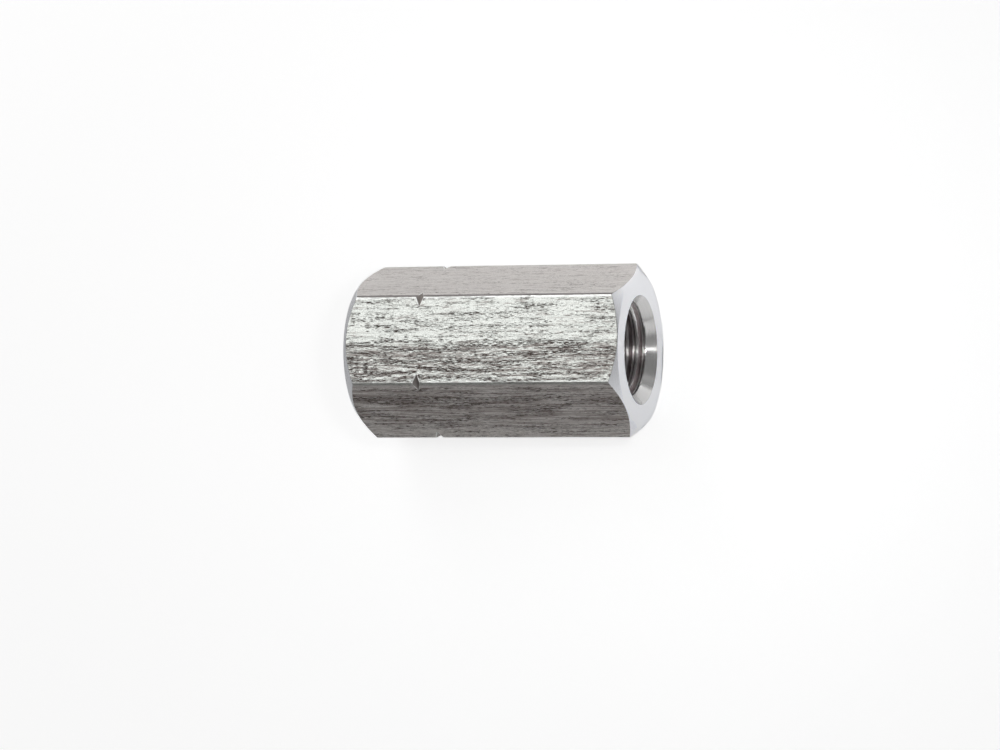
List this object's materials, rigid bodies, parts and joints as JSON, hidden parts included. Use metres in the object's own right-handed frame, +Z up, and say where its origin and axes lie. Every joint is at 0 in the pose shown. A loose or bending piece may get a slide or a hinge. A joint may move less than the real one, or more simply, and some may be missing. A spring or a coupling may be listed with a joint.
{
  "type": "coupling nut",
  "caption": "Long hexagonal coupling nut with a right-hand thread at one end and a left-hand thread at the other, marked by V notches across its corners.",
  "frame": {"origin": "middle of the bore, on its axis, half way between the two end faces", "axes": "+X along the bore towards the end with the right-hand thread, +Z up through the middle of the top flat, and +Y across the flats towards a corner"},
  "size_m": [0.036, 0.0218, 0.0188],
  "materials": {
    "drawn_steel": "bare bright cold-drawn bar with dark drawing streaks along its flats, and cleanly turned ends and countersinks"
  },
  "bodies": {
    "root": {"coupling_nut": "drawn_steel"}
  },
  "joints": []
}
